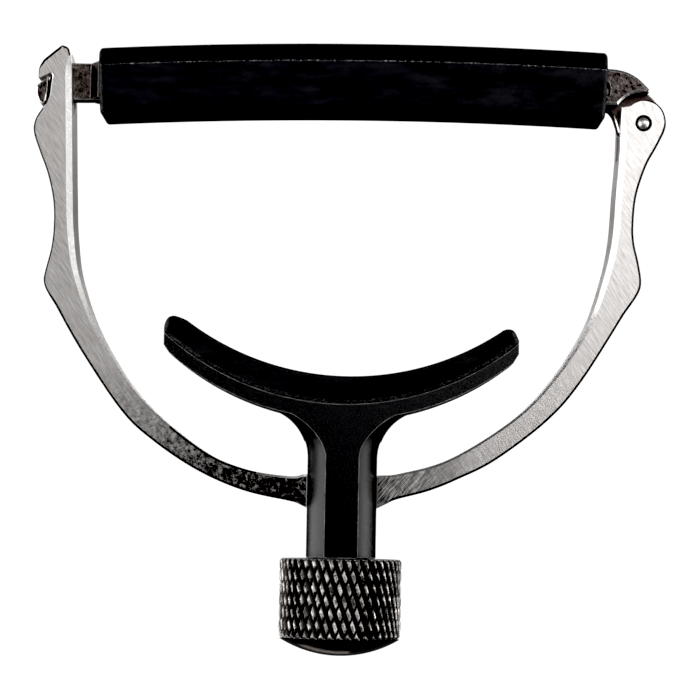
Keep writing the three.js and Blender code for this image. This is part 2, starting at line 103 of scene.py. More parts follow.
def rounded(points, radius, steps=5):
    """A closed outline with its corners rounded. radius is one number, or one for each corner."""
    count = len(points)
    radii = [radius] * count if isinstance(radius, (int, float)) else radius
    found = []
    for i, here in enumerate(points):
        here = Vector(here)
        back = (Vector(points[i - 1]) - here)
        ahead = (Vector(points[(i + 1) % count]) - here)
        reach = min(radii[i], back.length * 0.45, ahead.length * 0.45)
        if reach <= 0:
            found.append(tuple(here))
            continue
        start = here + back.normalized() * reach
        end = here + ahead.normalized() * reach
        for j in range(steps + 1):
            t = j / steps
            point = start * (1 - t) ** 2 + here * 2 * t * (1 - t) + end * t * t
            found.append((point.x, point.y))
    return found


def spaced(points, shortest=0.02):
    """The outline without points that nearly coincide."""
    kept = []
    for point in points:
        if not kept or (Vector(point) - Vector(kept[-1])).length > shortest:
            kept.append(point)
    if (Vector(kept[0]) - Vector(kept[-1])).length <= shortest:
        kept.pop()
    return kept


def area(points):
    pairs = zip(points, points[1:] + points[:1])
    return sum(a[0] * b[1] - b[0] * a[1] for a, b in pairs) / 2


def inward(points):
    """For each point of an anticlockwise outline, the step that moves it in by one unit."""
    steps = []
    count = len(points)
    for i in range(count):
        before = (Vector(points[i]) - Vector(points[i - 1])).normalized()
        after = (Vector(points[(i + 1) % count]) - Vector(points[i])).normalized()
        normal = Vector((-before.y - after.y, before.x + after.x)).normalized()
        stretch = max(normal.dot(Vector((-after.y, after.x))), 0.5)
        steps.append(normal / stretch)
    return steps


def crosses(a, b, c, d):
    """True if the stretch from a to b crosses the one from c to d."""
    def side(p, q, r):
        return (q[0] - p[0]) * (r[1] - p[1]) - (q[1] - p[1]) * (r[0] - p[0])
    return side(a, b, c) * side(a, b, d) < 0 and side(c, d, a) * side(c, d, b) < 0


def settled(outline, steps, widths):
    """The widths evened out, and cut back where the inner line would cross itself."""
    count = len(outline)
    widths = [sum(widths[(i + k) % count] for k in range(-2, 3)) / 5 for i in range(count)]
    for _ in range(20):
        line = [Vector(p) + step * w for p, step, w in zip(outline, steps, widths)]
        found = []
        for i in range(count):
            for j in range(i + 2, i + 16):
                ends = [line[k % count] for k in (i, i + 1, j, j + 1)]
                if crosses(*ends):
                    found.append((i, j))
        if not found:
            break
        for i, j in found:
            for k in range(i - 1, j + 3):
                widths[k % count] *= 0.75
    return widths


# ---------------------------------------------------------------- meshes


SHARP_ANGLE = 20


def make_object(name, bm, materials, sharp_angle=SHARP_ANGLE):
    """An object in metres from a bmesh in millimetres, smooth except over its sharp edges."""
    bmesh.ops.scale(bm, vec=(MM, MM, MM), verts=bm.verts)
    bmesh.ops.recalc_face_normals(bm, faces=bm.faces)
    mesh = bpy.data.meshes.new(name)
    bm.to_mesh(mesh)
    bm.free()
    obj = bpy.data.objects.new(name, mesh)
    bpy.context.scene.collection.objects.link(obj)
    for material in materials:
        mesh.materials.append(material)
    mesh.polygons.foreach_set("use_smooth", [True] * len(mesh.polygons))
    mesh.set_sharp_from_angle(angle=math.radians(sharp_angle))
    return obj


def join_rings(bm, rings):
    """Quads between rings of vertices."""
    faces = []
    for one, other in zip(rings, rings[1:]):
        count = len(one)
        for i in range(count):
            j = (i + 1) % count
            corners = [one[i], one[j], other[j], other[i]]
            faces.append(bm.faces.new(corners))
    return faces


BEVEL_STEEPNESS = 0.7
BEVEL_DEEPEST = 0.32


def bevelled_plate(outline, low, high, width, finish=None):
    """A plate between two Y values, with an edge bevel. width is a number or a function of x and z.
    The flat faces have material 0, the walls 2, and the bevel 1 or what finish(x, z) says."""
    outline = spaced(outline)
    if area(outline) < 0:
        outline = outline[::-1]
    steps = inward(outline)
    widths = settled(outline, steps, [width(*p) if callable(width) else width for p in outline])
    bm = bmesh.new()

    def ring(y, share, down):
        verts = []
        for point, step, w in zip(outline, steps, widths):
            x, z = Vector(point) + step * w * share
            verts.append(bm.verts.new((x, y + min(w * BEVEL_STEEPNESS, BEVEL_DEEPEST) * down, z)))
        return verts

    profile = [(1, 0), (0, 1)]
    front = [ring(low, share, down) for share, down in profile]
    back = [ring(high, share, -down) for share, down in profile]
    for rings in (front, back):
        for k, face in enumerate(join_rings(bm, rings)):
            face.material_index = finish(*outline[k % len(outline)]) if finish else 1
    for face in join_rings(bm, [front[-1], back[-1]]):
        face.material_index = 2
    for ring_verts in (front[0], back[0]):
        face = bm.faces.new(ring_verts)
        face.material_index = 0
    return bm


def turned(profile, sides):
    """A closed bmesh turned about Z from (radius, z) points that start and end on the axis."""
    bm = bmesh.new()
    rings = []
    for radius, z in profile:
        if radius < 1e-6:
            rings.append([bm.verts.new((0, 0, z))])
            continue
        turns = [2 * math.pi * i / sides for i in range(sides)]
        rings.append([bm.verts.new((radius * math.cos(a), radius * math.sin(a), z)) for a in turns])
    for one, other in zip(rings, rings[1:]):
        for i in range(sides):
            j = (i + 1) % sides
            if len(one) == 1:
                bm.faces.new([one[0], other[i], other[j]])
            elif len(other) == 1:
                bm.faces.new([one[i], one[j], other[0]])
            else:
                bm.faces.new([one[i], one[j], other[j], other[i]])
    bmesh.ops.recalc_face_normals(bm, faces=bm.faces)
    return bm


def box_mesh(low, high):
    bm = bmesh.new()
    bmesh.ops.create_cube(bm, size=1)
    size = Vector(high) - Vector(low)
    middle = (Vector(high) + Vector(low)) / 2
    bmesh.ops.scale(bm, vec=size, verts=bm.verts)
    bmesh.ops.translate(bm, vec=middle, verts=bm.verts)
    return bm


def prism(plan, low, high):
    """A plan of (x, y) points run from one height to another."""
    bm = bmesh.new()
    floor = [bm.verts.new((x, y, low)) for x, y in plan]
    roof = [bm.verts.new((x, y, high)) for x, y in plan]
    join_rings(bm, [floor, roof])
    bm.faces.new(floor)
    bm.faces.new(roof)
    bmesh.ops.recalc_face_normals(bm, faces=bm.faces)
    return bm


def flat_plate(outline, low, high):
    """A plate between two Y values, with sharp edges."""
    bm = bmesh.new()
    outline = spaced(outline, 0.005)
    front = [bm.verts.new((x, low, z)) for x, z in outline]
    back = [bm.verts.new((x, high, z)) for x, z in outline]
    join_rings(bm, [front, back])
    bm.faces.new(front)
    bm.faces.new(back)
    bmesh.ops.recalc_face_normals(bm, faces=bm.faces)
    return bm


def millimetres(obj):
    """Takes an object apart into a bmesh in millimetres."""
    bm = bmesh.new()
    bm.from_mesh(obj.data)
    bmesh.ops.scale(bm, vec=(1 / MM, 1 / MM, 1 / MM), verts=bm.verts)
    bpy.data.objects.remove(obj)
    return bm


def cross_rod(x, z, radius, reach=10):
    """A round cutter along Y through (x, z)."""
    bm = turned([(0, -reach), (radius, -reach), (radius, reach), (0, reach)], 48)
    bmesh.ops.rotate(bm, matrix=Matrix.Rotation(math.radians(90), 3, "X"), verts=bm.verts)
    bmesh.ops.translate(bm, vec=(x, 0, z), verts=bm.verts)
    return bm


def combine(obj, bm, operation, material_index=0):
    """Cuts, joins or intersects an object with a bmesh that is in millimetres."""
    for face in bm.faces:
        face.material_index = material_index
    tool = make_object("tool", bm, list(obj.data.materials))
    modifier = obj.modifiers.new("boolean", "BOOLEAN")
    modifier.operation = operation
    modifier.solver = "EXACT"
    modifier.object = tool
    graph = bpy.context.evaluated_depsgraph_get()
    result = bpy.data.meshes.new_from_object(obj.evaluated_get(graph))
    obj.modifiers.clear()
    old = obj.data
    obj.data = result
    bpy.data.meshes.remove(old)
    bpy.data.objects.remove(tool)
    result.polygons.foreach_set("use_smooth", [True] * len(result.polygons))
    result.set_sharp_from_angle(angle=math.radians(SHARP_ANGLE))
    return obj


def place(obj, body, slot, *nodes):
    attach(obj, body)
    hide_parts(*nodes)
    return obj


# ---------------------------------------------------------------- materials


class Shader:
    """A Principled material with short calls for the nodes that feed it."""

    def __init__(self, name, colour, roughness, metallic=0.0):
        self.material = bpy.data.materials.new(name)
        self.material.use_nodes = True
        self.tree = self.material.node_tree
        self.main = self.tree.nodes["Principled BSDF"]
        self.main.inputs["Base Color"].default_value = (*colour, 1)
        self.main.inputs["Roughness"].default_value = roughness
        self.main.inputs["Metallic"].default_value = metallic

    def node(self, kind, **values):
        made = self.tree.nodes.new(kind)
        for name, value in values.items():
            setattr(made, name, value)
        return made

    def link(self, source, target):
        self.tree.links.new(source, target)

    def place_on(self, scale=(1, 1, 1), turn=(0, 0, 0)):
        """Object coordinates in millimetres, turned and then stretched."""
        coordinates = self.node("ShaderNodeTexCoord")
        turned_by = self.node("ShaderNodeMapping")
        turned_by.inputs["Rotation"].default_value = [math.radians(a) for a in turn]
        turned_by.inputs["Scale"].default_value = (1 / MM, 1 / MM, 1 / MM)
        stretched = self.node("ShaderNodeMapping")
        stretched.inputs["Scale"].default_value = scale
        self.link(coordinates.outputs["Object"], turned_by.inputs["Vector"])
        self.link(turned_by.outputs["Vector"], stretched.inputs["Vector"])
        return stretched.outputs["Vector"]

    def noise(self, vector, scale, detail=4, roughness=0.6):
        made = self.node("ShaderNodeTexNoise")
        made.inputs["Scale"].default_value = scale
        made.inputs["Detail"].default_value = detail
        made.inputs["Roughness"].default_value = roughness
        self.link(vector, made.inputs["Vector"])
        return made.outputs["Fac"]

    def remap(self, value, low, high, to_low, to_high):
        made = self.node("ShaderNodeMapRange")
        made.inputs["From Min"].default_value = low
        made.inputs["From Max"].default_value = high
        made.inputs["To Min"].default_value = to_low
        made.inputs["To Max"].default_value = to_high
        self.link(value, made.inputs["Value"])
        return made.outputs["Result"]

    def mix(self, factor, one, other):
        made = self.node("ShaderNodeMix", data_type="RGBA")
        self.link(factor, made.inputs["Factor"])
        for socket, colour in ((made.inputs["A"], one), (made.inputs["B"], other)):
            if isinstance(colour, tuple):
                socket.default_value = (*colour, 1)
            else:
                self.link(colour, socket)
        return made.outputs["Result"]

    def maths(self, operation, one, other):
        made = self.node("ShaderNodeMath", operation=operation)
        for socket, value in zip(made.inputs, (one, other)):
            if isinstance(value, (int, float)):
                socket.default_value = value
            else:
                self.link(value, socket)
        return made.outputs["Value"]

    def bump(self, height, distance, strength, under=None):
        """A bump of so many millimetres for a height of one."""
        made = self.node("ShaderNodeBump")
        made.inputs["Distance"].default_value = distance * MM
        made.inputs["Strength"].default_value = strength
        self.link(height, made.inputs["Height"])
        if under is not None:
            self.link(under, made.inputs["Normal"])
        return made.outputs["Normal"]

    def edges(self, radius, full=0.9):
        """0 on flat ground, rising to 1 where the surface turns a corner."""
        bevel = self.node("ShaderNodeBevel")
        bevel.inputs["Radius"].default_value = radius * MM
        geometry = self.node("ShaderNodeNewGeometry")
        dot = self.node("ShaderNodeVectorMath", operation="DOT_PRODUCT")
        self.link(bevel.outputs["Normal"], dot.inputs[0])
        self.link(geometry.outputs["Normal"], dot.inputs[1])
        return self.remap(dot.outputs["Value"], 0.998, full, 0, 1)

    def set(self, **links):
        for name, value in links.items():
            self.link(value, self.main.inputs[name.replace("_", " ")])
        return self

    def fix(self, name, value):
        self.main.inputs[name].default_value = value
        return self


def brushed_steel(name="yoke_brushed"):
    """Stainless steel brushed on a slant, with painted shade: dark reflection painted in blotches
    at the lower left and in streaks on the belly beside the stem.
    """
    s = Shader(name, (0.74, 0.715, 0.70), 0.34, 1)
    fine = s.noise(s.place_on(scale=(1.2, 1, 20), turn=(0, -60, 0)), 1.0, 5, 0.75)
    coarse = s.noise(s.place_on(scale=(0.5, 1, 6), turn=(0, -56, 0)), 1.0, 4)
    grit = s.noise(s.place_on(), 6.0, 4, 0.8)
    shade = s.maths("MULTIPLY", s.maths("ADD", fine, s.maths("MULTIPLY", grit, 0.8)), coarse)
    colour = s.mix(s.remap(shade, 0.26, 0.62, 0, 1), (0.54, 0.505, 0.49), (0.94, 0.915, 0.90))
    split = s.node("ShaderNodeSeparateXYZ")
    s.link(s.place_on(), split.inputs["Vector"])
    # painted shade: the lower left and the belly right of the stem are darkened towards black in
    # blotches and streaks, standing in for the dark surround that the brushed face reflects
    left = s.remap(split.outputs["X"], 0, -4, 0, 1)
    down = s.remap(split.outputs["Z"], -13, -22, 0, 1)
    blotch = s.maths("ADD", s.noise(s.place_on(), 2.2, 6, 0.75), s.maths("MULTIPLY", fine, 0.35))
    cover = s.remap(split.outputs["X"], -20, -8, -0.04, 0.12)
    blotch = s.maths("ADD", blotch, cover)
    painted_shade_lower_left = s.maths("MULTIPLY", s.maths("MULTIPLY", left, down), s.remap(blotch, 0.53, 0.76, 0, 1))
    crossed = s.noise(s.place_on(scale=(0.6, 1, 9), turn=(0, 50, 0)), 1.0, 4, 0.7)
    right = s.remap(split.outputs["X"], 15, 5, 0, 1)
    lines = s.remap(crossed, 0.45, 0.55, 0, 1)
    painted_shade_streaks = s.maths("MULTIPLY", s.maths("MULTIPLY", right, down), lines)
    painted_shade_streaks = s.maths("MULTIPLY", painted_shade_streaks, s.remap(split.outputs["X"], 0, 3, 0, 1))
    colour = s.mix(s.maths("MAXIMUM", painted_shade_lower_left, painted_shade_streaks), colour, (0.012, 0.009, 0.009))
    rough = s.remap(fine, 0.3, 0.7, 0.27, 0.42)
    normal = s.bump(fine, 0.01, 0.6, s.bump(grit, 0.008, 0.5))
    s.fix("Anisotropic", 0.3)
    return s.set(Base_Color=colour, Roughness=rough, Normal=normal).material


def polished_steel(name, colour, roughness):
    s = Shader(name, colour, roughness, 1)
    fine = s.noise(s.place_on(), 6.0, 4)
    rough = s.remap(fine, 0.3, 0.7, roughness * 0.6, roughness * 1.6)
    return s.set(Roughness=rough, Normal=s.bump(fine, 0.004, 0.5)).material


def cast_metal(name="bar_cast"):
    """Dark tumbled casting: mottled, scratched and pitted; its corners are painted near white, part
    rubbed metal and part painted highlight.
    """
    s = Shader(name, (0.3, 0.27, 0.26), 0.4, 1)
    mottle = s.noise(s.place_on(), 2.4, 6, 0.75)
    pits = s.noise(s.place_on(), 7.5, 3)
    scratch = s.noise(s.place_on(scale=(7, 1, 0.6), turn=(0, 25, 0)), 1.0, 4, 0.7)
    dark, light = (0.008, 0.006, 0.006), (0.19, 0.16, 0.15)
    colour = s.mix(s.remap(mottle, 0.42, 0.64, 0, 1), dark, light)
    colour = s.mix(s.remap(scratch, 0.6, 0.68, 0, 0.7), colour, (0.6, 0.56, 0.54))
    # painted highlight with some rubbed wear: corners found by the bevel node are coloured near
    # white
    rubbed_and_highlight = s.mix(s.edges(0.12), colour, (0.8, 0.78, 0.76))
    rough = s.remap(mottle, 0.35, 0.65, 0.45, 0.26)
    normal = s.bump(pits, 0.05, 0.5, s.bump(mottle, 0.14, 0.5))
    return s.set(Base_Color=rubbed_and_highlight, Roughness=rough, Normal=normal).material


def black_rubber(name, tint, wear_and_highlight, patch=0.0):
    """Moulded rubber: fine grain, faint smears, a little dust, and pale speckles along its edges: a
    painted highlight on the sleeve's crease, a grey speckled band on the pad.
    The third argument is how pale the edges get; patch spreads the same speckles over the whole
    surface."""
    s = Shader(name, tint, 0.55)
    fine = s.noise(s.place_on(), 9.0, 4, 0.7)
    smear = s.noise(s.place_on(scale=(0.35, 1, 1.1)), 0.7, 3)
    speck = s.remap(s.noise(s.place_on(), 5.0, 6, 0.8), 0.5, 0.66, 0, 1)
    dust = s.remap(s.noise(s.place_on(), 3.1, 6, 0.8), 0.66, 0.78, 0, 0.2)
    colour = s.mix(s.remap(smear, 0.35, 0.7, 0, 1), tint, tuple(c * 2.2 for c in tint))
    colour = s.mix(dust, colour, (0.2, 0.2, 0.21))
    edge = s.maths("MAXIMUM", s.edges(0.2, 0.965), patch)
    colour = s.mix(s.maths("MULTIPLY", edge, speck), colour, (wear_and_highlight, wear_and_highlight, wear_and_highlight))
    rough = s.remap(smear, 0.3, 0.7, 0.62, 0.44)
    s.fix("Specular IOR Level", 0.2)
    return s.set(Base_Color=colour, Roughness=rough, Normal=s.bump(fine, 0.04, 0.7)).material


def anodised(name, roughness):
    """Satin black anodised aluminium with a fine blasted grain; its edges are painted pale, part
    rubbed wear and part painted highlight.
    """
    colour = (0.004, 0.004, 0.0044)
    s = Shader(name, colour, roughness, 0.0)
    grain = s.noise(s.place_on(), 5.5, 5, 0.8)
    cloud = s.noise(s.place_on(), 0.8, 3)
    # painted highlight with some rubbed wear: edges found by the bevel node are coloured pale grey
    # in clouds
    rubbed_and_highlight = s.maths("MULTIPLY", s.edges(0.09, 0.975), s.remap(cloud, 0.35, 0.6, 0.35, 1))
    tone = s.mix(s.remap(grain, 0.35, 0.7, 0, 1), colour, tuple(c * 1.8 for c in colour))
    s.fix("Specular IOR Level", 0.42)
    rough = s.remap(grain, 0.3, 0.7, roughness - 0.06, roughness + 0.1)
    s.set(Base_Color=s.mix(rubbed_and_highlight, tone, (0.55, 0.55, 0.56)), Roughness=rough)
    return s.set(Normal=s.bump(grain, 0.035, 0.8)).material


def knurl_metal(name="knurl_black"):
    """Black plated knurl, black in its grooves; its points are painted pale in patches, part worn
    metal and part painted highlight.
    """
    s = Shader(name, (0.05, 0.048, 0.047), 0.22, 1)
    split = s.node("ShaderNodeSeparateXYZ")
    s.link(s.place_on(), split.inputs["Vector"])
    x, y = split.outputs["X"], split.outputs["Y"]
    square = s.maths("ADD", s.maths("MULTIPLY", x, x), s.maths("MULTIPLY", y, y))
    out = s.maths("POWER", square, 0.5)
    grain = s.noise(s.place_on(), 6.0, 5, 0.8)
    cloud = s.noise(s.place_on(), 0.9, 3)
    point = s.remap(out, KNOB_HIGH.x - 0.15, KNOB_HIGH.x - 0.02, 0, 1)
    patches = s.remap(s.maths("MULTIPLY", grain, cloud), 0.2, 0.34, 0.04, 1)
    # painted highlight with some wear: patches of the knurl's points are coloured pale grey
    wear_and_highlight = s.maths("MULTIPLY", point, patches)
    colour = s.mix(wear_and_highlight, (0.018, 0.0165, 0.016), (0.68, 0.65, 0.63))
    rough = s.remap(grain, 0.3, 0.7, 0.2, 0.4)
    return s.set(Base_Color=colour, Roughness=rough, Normal=s.bump(grain, 0.03, 0.6)).material


def gloss_black(name="cap_gloss"):
    s = Shader(name, (0.012, 0.0115, 0.011), 0.1)
    grain = s.noise(s.place_on(), 2.0, 4)
    s.fix("Coat Weight", 0.3)
    s.fix("Coat Roughness", 0.06)
    rough = s.remap(grain, 0.3, 0.7, 0.08, 0.2)
    return s.set(Roughness=rough, Normal=s.bump(grain, 0.006, 0.4)).material


def turned_metal(name, colour, roughness):
    s = Shader(name, colour, roughness, 1)
    lines = s.noise(s.place_on(scale=(0.3, 0.3, 12)), 1.0, 4)
    rough = s.remap(lines, 0.3, 0.7, roughness * 0.7, roughness * 1.5)
    return s.set(Roughness=rough, Normal=s.bump(lines, 0.01, 0.5)).material


BRUSHED = brushed_steel()
POLISHED = polished_steel("steel_polished", (0.76, 0.75, 0.74), 0.3)
WALL = polished_steel("steel_wall", (0.74, 0.71, 0.695), 0.36)
# painted shade: a darker copy of the polished bevel steel, used on the left arm's inner bevel
BEVEL_PAINTED_SHADE = polished_steel("steel_bevel_painted_shade", (0.54, 0.53, 0.52), 0.32)
# painted shade: near-black steel standing in for the dark surround reflected in the outer bevels
# and the pin's rings
EDGE_PAINTED_SHADE = polished_steel("steel_edge_painted_shade", (0.008, 0.007, 0.007), 0.4)
# painted shade: the thin web sits recessed between the cheeks, so its faces and walls are coloured
# dark brown where shadow falls
SHADED = polished_steel("bar_web_painted_shade", (0.09, 0.07, 0.066), 0.45)
CAST = cast_metal()
CUT = polished_steel("knurl_cut_edge", (0.3, 0.29, 0.285), 0.4)
# painted highlight: the sleeve's edges are speckled white, standing in for the catch-light along
# its shoulder crease
SLEEVE_RUBBER = black_rubber("sleeve_rubber_grain", (0.0065, 0.0065, 0.0078), 1.0)
PAD_RUBBER = black_rubber("pad_rubber_grain", (0.007, 0.007, 0.0075), 0.1)
PAD_EDGE = black_rubber("pad_rubber_pale_band", (0.008, 0.008, 0.0085), 0.16, 1.0)
ANODISED = anodised("stem_anodised", 0.22)
KNURL = knurl_metal()
GLOSS = gloss_black()
PIN_STEEL = polished_steel("pin_satin", (0.86, 0.85, 0.84), 0.34)
BRIGHT = turned_metal("bright_turned", (0.74, 0.73, 0.72), 0.2)
BRASS = turned_metal("brass_turned", (0.74, 0.55, 0.26), 0.25)

# ---------------------------------------------------------------- yoke

FINE = 8                        # steps in each span of the yoke's outline
WEB_HALF_DEPTH = 0.8
RELIEF_LOW, RELIEF_HIGH = -33, -21
BOSS_R = 2.4
SCREW_HOLE_R = 1.55
FORK_HALF_GAP = 1.2
FORK_TOP = 30
LEFT_FORK_FLOOR = 14.3
RIGHT_FORK_FLOOR = 10.2
CHEEK_R = 2.45
PIN_HOLE_R = 0.92
PIN_R = 0.8
PIN_DOME_R = 0.66
LEFT_OUTER = smooth([
    (-33.45, 14.7), (-34.2, 13.4), (-34.35, 12.0), (-33.65, 9.9), (-32.7, 7.4), (-32.05, 4.6),
    (-31.9, 2.0), (-32.1, -0.6), (-32.7, -3.2), (-32.85, -4.3), (-32.5, -5.4), (-31.5, -7.0),
], FINE)
LEFT_BELLY = smooth([
    (-31.5, -7.0), (-28.6, -11.9), (-24.1, -18.3), (-20.6, -21.5), (-15.8, -24.6), (-10.8, -26.7),
    (-5.8, -27.75), (-4.9, -27.98), (-4.1, -28.35), (-3.5, WEB_BOTTOM),
], FINE)
RIGHT_BELLY = smooth([
    (3.5, WEB_BOTTOM), (4.1, -28.3), (4.9, -27.9), (6.0, -27.4), (9.4, -26.45), (12.4, -25.2),
    (16.6, -23.0), (22.2, -18.6), (25.9, -14.2), (30.4, -6.9),
], FINE)
RIGHT_OUTER = smooth([
    (30.4, -6.9), (31.8, -4.8), (32.2, -3.4), (31.9, -1.3), (31.4, 0.9), (31.3, 3.0), (31.6, 6.1),
    (32.6, 9.3), (33.7, 11.4), (34.35, 12.7),
], FINE)
RIGHT_INNER = smooth([
    (29.9, 15.85), (29.75, 10.9), (29.4, 6.4), (29.05, 1.5), (28.2, -2.8), (26.4, -8.2),
    (23.0, -13.8), (18.7, -18.4), (11.8, -22.9), (6.4, -24.6), (RELIEF_R, WEB_TOP),
], FINE)
LEFT_INNER = smooth([
    (-RELIEF_R, WEB_TOP), (-5.8, -25.1), (-10.6, -24.4), (-15.4, -22.3), (-22.0, -16.9),
    (-26.5, -10.3), (-28.9, -4.2), (-29.7, 0.5), (-30.0, 6.0), (-30.4, 18.0), (-30.55, 20.5),
], FINE)
LEFT_CROWN = smooth([
    (-30.55, 20.5), (-30.8, 21.3), (-31.4, 21.6), (-31.9, 21.35), (-33.5, 20.0),
], FINE)
NOTCH = rounded(
    [(-33.5, 20.0), (-33.95, 19.2), (-34.0, 17.85), (-32.65, 18.5), (-32.45, 18.3), (-32.75, 15.7),
     (-33.45, 14.7)],
    [0, 0.5, 0.25, 0.2, 0.2, 0.5, 0],
)


# where the edge bevel changes its width
FOOT_HALF_WIDTH, FOOT_TOP = 5.2, -27.2
HOOK_RIGHT, HOOK_LOW, HOOK_HIGH = -31.0, 14.9, 19.4
CROWN_LOW = 19.8
CHEEK_LEFT, CHEEK_MIDDLE = 29.8, 32.6
ARM_LOW = -6
BROAD_BEVEL = 0.66


def inside_edge(x, z):
    """True along the edge that faces the neck."""
    if z > ARM_LOW:
        return abs(x) < 30.95
    return (x / 29.6) ** 2 + ((z - 1.0) / 27.0) ** 2 < 1


def yoke_bevel(x, z):
    """Width of the edge bevel: broad along the inside of the arms, fine round the outside."""
    if abs(x) < FOOT_HALF_WIDTH and z < FOOT_TOP:
        return 0.05
    if z > HOOK_LOW and x < HOOK_RIGHT:
        return 0.09 if z < HOOK_HIGH else 0.3
    if x > CHEEK_LEFT and z > PIVOT_Z:
        return 0.1 if x < CHEEK_MIDDLE else 0.18
    if not inside_edge(x, z):
        return 0.17 if x < 0 and z > ARM_LOW else 0.25
    if x < 0 and z > CROWN_LOW:
        return 0.2
    if z > 0:
        return BROAD_BEVEL
    return BROAD_BEVEL - 0.42 * min(-z / 14, 1)


# material slots of the yoke
YOKE_POLISHED, YOKE_WALL, YOKE_EDGE_PAINTED_SHADE, YOKE_BEVEL_PAINTED_SHADE = 1, 2, 3, 4


def yoke_finish(x, z):
    """The bevel's slot: bright along the inside and in the notch; round the outside, painted shade
    in near-black steel; inside the left arm, a darker copy of the bright steel as painted shade.
    """
    in_notch = 15.0 < z < 19.0 and -33.9 < x < -32.2
    if in_notch:
        return YOKE_POLISHED
    if not inside_edge(x, z) or (x < 0 and z > 20.4):
        return YOKE_EDGE_PAINTED_SHADE
    return YOKE_BEVEL_PAINTED_SHADE if x < 0 else YOKE_POLISHED


def scoop_faces(bm):
    """Hollows the front and back faces on each side of the stem."""
    for x in range(-SCOOP_HALF_WIDTH, SCOOP_HALF_WIDTH + 1):
        geometry = bm.verts[:] + bm.edges[:] + bm.faces[:]
        bmesh.ops.bisect_plane(bm, geom=geometry, plane_co=(x, 0, 0), plane_no=(1, 0, 0))
    deepest = 1 - SCOOP_HALF_DEPTH / HALF_DEPTH
    for vert in bm.verts:
        if vert.co.z < -20 and abs(vert.co.x) < SCOOP_HALF_WIDTH:
            cut = deepest * (1 - (vert.co.x / SCOOP_HALF_WIDTH) ** 2) ** 2
            vert.co.y *= 1 - cut


def build_yoke():
    # how much fuller than round the cheek is, by the angle about the pin
    fuller = [
        (-25, 0), (-5, 0), (15, 0.01), (35, 0.09), (55, 0.16), (75, 0.17), (95, 0.11), (112, 0.04),
        (128, 0),
    ]
    spots = [arc(PIVOT_X, PIVOT_Z, CHEEK_R + more, turn, turn, 1)[0] for turn, more in fuller]
    cheek = smooth(spots, 5)
    outline = [
        *LEFT_OUTER, *LEFT_BELLY, *RIGHT_BELLY, *RIGHT_OUTER, *cheek, *RIGHT_INNER, *LEFT_INNER,
        *LEFT_CROWN, *NOTCH,
    ]
    bm = bevelled_plate(outline, -HALF_DEPTH, HALF_DEPTH, yoke_bevel, yoke_finish)
    scoop_faces(bm)
    obj = make_object("yoke_frame_fine", bm, [BRUSHED, POLISHED, WALL, EDGE_PAINTED_SHADE, BEVEL_PAINTED_SHADE])
    for side in (-90, 90):
        reach = math.degrees(math.asin(WEB_HALF_DEPTH / RELIEF_R))
        curve = arc(0, 0, RELIEF_R, side - 90 + reach, side + 90 - reach, 48)
        combine(obj, prism(curve, RELIEF_LOW, RELIEF_HIGH), "DIFFERENCE", YOKE_WALL)
    rim = BOSS_R - 0.1
    boss = turned([
        (0, WEB_BOTTOM), (rim, WEB_BOTTOM), (BOSS_R, WEB_BOTTOM + 0.1), (BOSS_R, WEB_TOP - 0.1),
        (rim, WEB_TOP), (0, WEB_TOP),
    ], 64)
    combine(obj, boss, "UNION", YOKE_WALL)
    screw_hole = turned([
        (0, RELIEF_LOW), (SCREW_HOLE_R, RELIEF_LOW), (SCREW_HOLE_R, RELIEF_HIGH), (0, RELIEF_HIGH),
    ], 48)
    combine(obj, screw_hole, "DIFFERENCE", YOKE_WALL)
    gap = FORK_HALF_GAP
    for left, right, floor in ((-40, -25, LEFT_FORK_FLOOR), (25, 40, RIGHT_FORK_FLOOR)):
        fork = box_mesh((left, -gap, floor), (right, gap, FORK_TOP))
        combine(obj, fork, "DIFFERENCE", YOKE_WALL)
    combine(obj, cross_rod(PIVOT_X, PIVOT_Z, PIN_HOLE_R), "DIFFERENCE", YOKE_WALL)
    return place(obj, "yoke", "yoke_steel", "yoke_frame")


def build_pin():
    """Pivot pin with a domed head in a shallow ring at each end."""
    tip = PIN_HIGH.y
    inner = HALF_DEPTH - 0.25
    turns = [math.radians(a) for a in range(0, 90, 10)]
    dome = [(PIN_DOME_R * math.cos(a), inner + (tip - inner) * math.sin(a)) for a in turns]
    profile = [(0, -tip)] + [(r, -z) for r, z in reversed(dome)] + [(PIN_R, -inner)]
    profile += [(PIN_R, inner)] + dome + [(0, tip)]
    bm = turned(profile, 48)
    bmesh.ops.rotate(bm, matrix=Matrix.Rotation(math.radians(90), 3, "X"), verts=bm.verts)
    bmesh.ops.translate(bm, vec=(PIVOT_X, 0, PIVOT_Z), verts=bm.verts)
    for face in bm.faces:
        middle = face.calc_center_median()
        from_axis = math.hypot(middle.x - PIVOT_X, middle.z - PIVOT_Z)
        # painted shade: the shallow ring round each dome takes the near-black steel
        face.material_index = int(from_axis > PIN_DOME_R)
    obj = make_object("pivot_pin_fine", bm, [PIN_STEEL, EDGE_PAINTED_SHADE])
    return place(obj, "pivot", "bright_steel", "pivot_pin")


# ---------------------------------------------------------------- bar and sleeve

ARCH_R = 508
ARCH_Z = 18.5
ARCH_MIDDLE_X = 0.45
BAR_SLOPE = 0.0073


def crown(bm):
    """Bends a piece that runs along X so that its ends are lower than its middle."""
    for vert in bm.verts:
        angle = vert.co.x / ARCH_R
        radius = ARCH_R + vert.co.z - ARCH_Z
        along = radius * math.sin(angle)
        vert.co.x = along + ARCH_MIDDLE_X
        vert.co.z = radius * math.cos(angle) - ARCH_R + ARCH_Z + along * BAR_SLOPE


